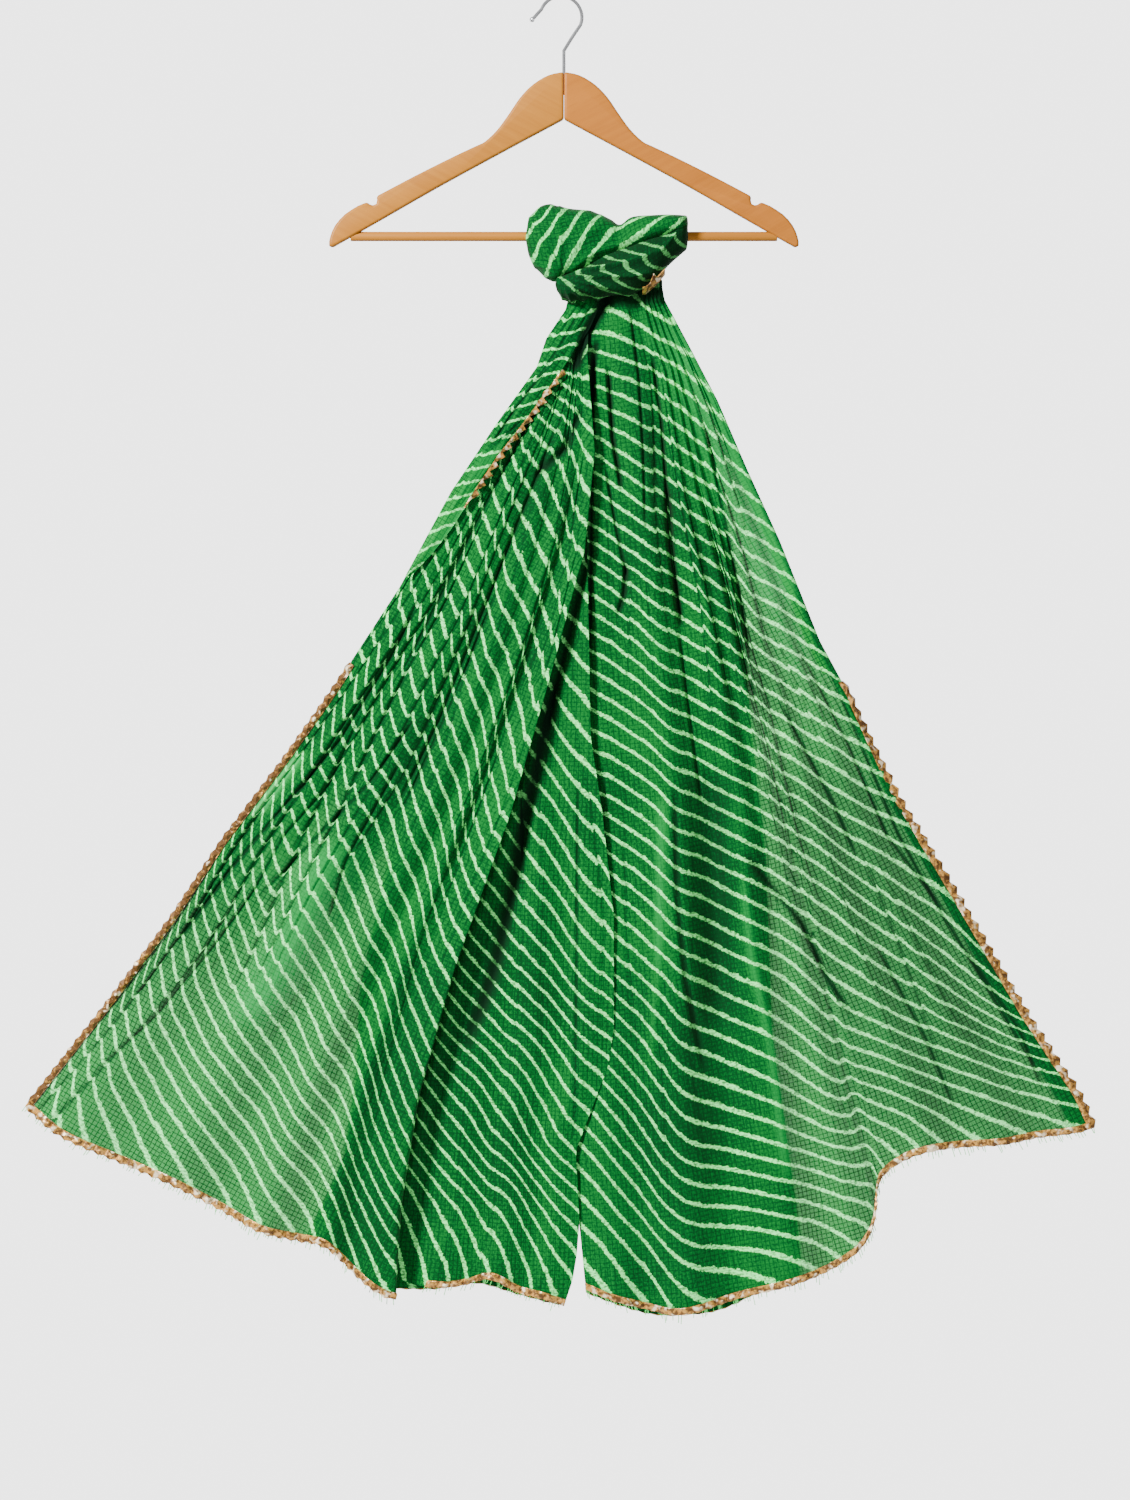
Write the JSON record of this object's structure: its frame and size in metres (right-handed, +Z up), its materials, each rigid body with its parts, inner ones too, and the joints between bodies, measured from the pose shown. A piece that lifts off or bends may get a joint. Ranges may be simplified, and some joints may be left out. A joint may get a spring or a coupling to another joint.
{
  "type": "dupatta stole on a wooden hanger",
  "caption": "Tie-dyed green stole hitched over the bar of a wooden hanger, its two ends falling in a wide fan with gold tape on their edges.",
  "frame": {"origin": "inside of the top of the hanger's hook, where a rail carries it", "axes": "+Z up, the front of the fan faces -Y, +X to the right seen from the front"},
  "size_m": [1.0123, 0.064, 1.2526],
  "materials": {
    "wood_left": "clear satin lacquer on pale beech",
    "wood_right": "clear satin lacquer on warmer beech",
    "wood_bar": "clear satin lacquer",
    "hook_steel": "bright plated wire",
    "cloth": "sheer check weave with pale diagonal resist-dyed stripes",
    "gold_tape": "shiny woven metallic tape"
  },
  "bodies": {
    "root": {"hanger_arm_left": "wood_left", "hanger_arm_right": "wood_right", "hanger_bar": "wood_bar", "hanger_hook": "hook_steel", "knot_loop": "cloth", "knot_wrap": "cloth", "knot_back": "cloth", "fall_left_front": "cloth", "fall_left_inner": "cloth", "fall_left_back": "cloth", "fall_left_turned": "cloth", "fall_right_front": "cloth", "fall_right_back": "cloth", "fall_right_edge_fold": "cloth", "tape_hem_left": "gold_tape", "tape_hem_inner": "gold_tape", "tape_hem_right": "gold_tape", "tape_edge_left": "gold_tape", "tape_edge_right": "gold_tape", "tape_turned": "gold_tape", "tape_hem_back_left": "gold_tape", "tape_hem_back_right": "gold_tape", "tape_knot": "gold_tape"}
  },
  "joints": []
}
